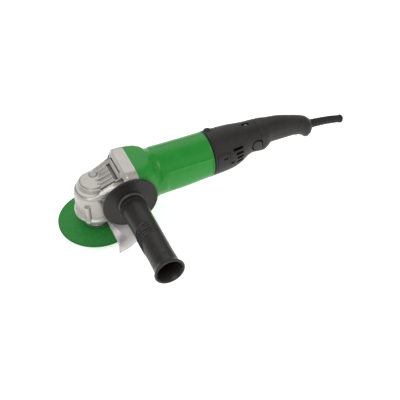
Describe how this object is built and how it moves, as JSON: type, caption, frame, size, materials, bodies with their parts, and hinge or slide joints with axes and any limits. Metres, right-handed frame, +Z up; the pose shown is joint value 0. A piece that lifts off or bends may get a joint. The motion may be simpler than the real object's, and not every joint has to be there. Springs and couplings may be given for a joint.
{
  "type": "angle grinder",
  "caption": "Angle grinder with geared head, half guard, grinding disc, side handle, round motor barrel and tail handle with trigger; spindle, guard and controls move.",
  "frame": {"origin": "free end of the spindle, on its axis, below the lock nut", "axes": "+X back to the tail handle, +Z up along the spindle into the gear head, -Y towards the side handle"},
  "size_m": [0.4671, 0.2543, 0.1115],
  "materials": {
    "cast_alloy": "sand-cast, satin",
    "screw_steel": "zinc plated",
    "felt": "pressed felt",
    "machined_steel": "turned",
    "gear_steel": "hardened and oiled",
    "bearing_steel": "ground",
    "bronze": "sintered",
    "lock_cap": "satin grey",
    "spring_steel": "drawn wire",
    "abrasive": "dyed bonded grit with woven glass",
    "guard_steel": "zinc plated sheet",
    "housing_green": "glossy moulded",
    "inner_plastic": "moulded",
    "laminations": "stacked laminations",
    "copper_wire": "enamelled copper",
    "copper_bar": "turned copper",
    "brass_sheet": "folded",
    "carbon": "pressed carbon",
    "handle_black": "fine spark-textured moulding",
    "switch_plastic": "moulded",
    "trigger_black": "moulded",
    "button_grey": "moulded",
    "sleeve_rubber": "moulded rubber",
    "grip_black": "moulded, satin",
    "grip_ring": "moulded, polished edge"
  },
  "bodies": {
    "root": {"gear_housing": "cast_alloy", "housing_screws": "screw_steel", "bearing_box": "cast_alloy", "bearing_box_screws": "screw_steel", "dust_seal": "felt", "spindle_bearing_outer": "bearing_steel", "top_bush": "bronze", "lock_spring": "spring_steel", "motor_housing": "housing_green", "fan_baffle": "inner_plastic", "front_bearing_outer": "bearing_steel", "front_bearing_plate": "machined_steel", "rear_bearing_outer": "bearing_steel", "stator_core": "laminations", "stator_coils": "copper_wire", "brush_bridge": "inner_plastic", "brush_holders": "brass_sheet", "carbon_brushes": "carbon", "brush_springs": "spring_steel", "rear_handle_left": "handle_black", "rear_handle_right": "handle_black", "handle_screws": "screw_steel", "brush_cover_left": "handle_black", "brush_cover_right": "handle_black", "switch_body": "switch_plastic", "trigger_pin": "machined_steel", "trigger_spring": "spring_steel", "lock_on_spring": "spring_steel", "cord_sleeve": "sleeve_rubber", "cord_clamp": "inner_plastic", "clamp_screws": "screw_steel", "side_handle_stud": "screw_steel", "side_handle_guard": "grip_black", "side_handle_ring": "grip_ring", "side_handle_grip": "grip_black"},
    "spindle": {"spindle": "machined_steel", "crown_gear": "gear_steel", "circlip": "gear_steel", "spindle_bearing_inner": "bearing_steel", "inner_flange": "gear_steel", "grinding_disc": "abrasive", "lock_nut": "gear_steel"},
    "spindle_balls": {"spindle_bearing_balls": "bearing_steel"},
    "armature": {"armature_shaft": "machined_steel", "armature_core": "laminations", "armature_windings": "copper_wire", "commutator": "copper_bar", "cooling_fan": "inner_plastic", "pinion_gear": "gear_steel", "pinion_nut": "screw_steel", "front_bearing_inner": "bearing_steel", "rear_bearing_inner": "bearing_steel"},
    "front_balls": {"front_bearing_balls": "bearing_steel"},
    "rear_balls": {"rear_bearing_balls": "bearing_steel"},
    "spindle_lock": {"lock_pin": "machined_steel", "lock_cap": "lock_cap"},
    "guard": {"wheel_guard": "guard_steel", "guard_clamp_screw": "screw_steel"},
    "trigger": {"switch_trigger": "trigger_black"},
    "lock_on": {"lock_on_button": "button_grey"}
  },
  "joints": [
    {"name": "armature_spin", "type": "hinge", "parent": "root", "child": "armature", "pos_m": [0, 0, 0.071], "axis": [1, 0, 0], "continuous": true},
    {"name": "spindle_spin", "type": "hinge", "parent": "root", "child": "spindle", "pos_m": [0, 0, 0], "axis": [0, 0, 1], "continuous": true},
    {"name": "spindle_balls_spin", "type": "hinge", "parent": "root", "child": "spindle_balls", "pos_m": [0, 0, 0], "axis": [0, 0, 1], "continuous": true},
    {"name": "front_balls_spin", "type": "hinge", "parent": "root", "child": "front_balls", "pos_m": [0, 0, 0.071], "axis": [1, 0, 0], "continuous": true},
    {"name": "rear_balls_spin", "type": "hinge", "parent": "root", "child": "rear_balls", "pos_m": [0, 0, 0.071], "axis": [1, 0, 0], "continuous": true},
    {"name": "spindle_lock_press", "type": "slide", "parent": "root", "child": "spindle_lock", "axis": [0, 0, -1], "range_m": [0, 0.0033], "stiffness_N_per_m": 400, "springref_m": -0.002, "deforming": ["lock_spring"]},
    {"name": "guard_turn", "type": "hinge", "parent": "root", "child": "guard", "pos_m": [0, 0, 0], "axis": [0, 0, 1], "range_deg": [-90, 90]},
    {"name": "trigger_pull", "type": "hinge", "parent": "root", "child": "trigger", "pos_m": [0.314, 0, 0.075], "axis": [0, 1, 0], "range_deg": [0, 5], "stiffness_Nm_per_rad": 0.6, "springref_deg": -5.73, "deforming": ["trigger_spring"]},
    {"name": "lock_on_press", "type": "slide", "parent": "root", "child": "lock_on", "axis": [0, 1, 0], "range_m": [0, 0.003], "stiffness_N_per_m": 300, "springref_m": -0.001, "deforming": ["lock_on_spring"]}
  ],
  "couplings": [
    {"joint": "spindle_spin", "follows": "armature_spin", "ratio": 0.36111},
    {"joint": "spindle_balls_spin", "follows": "armature_spin", "ratio": 0.13624},
    {"joint": "front_balls_spin", "follows": "armature_spin", "ratio": 0.365},
    {"joint": "rear_balls_spin", "follows": "armature_spin", "ratio": 0.374}
  ]
}
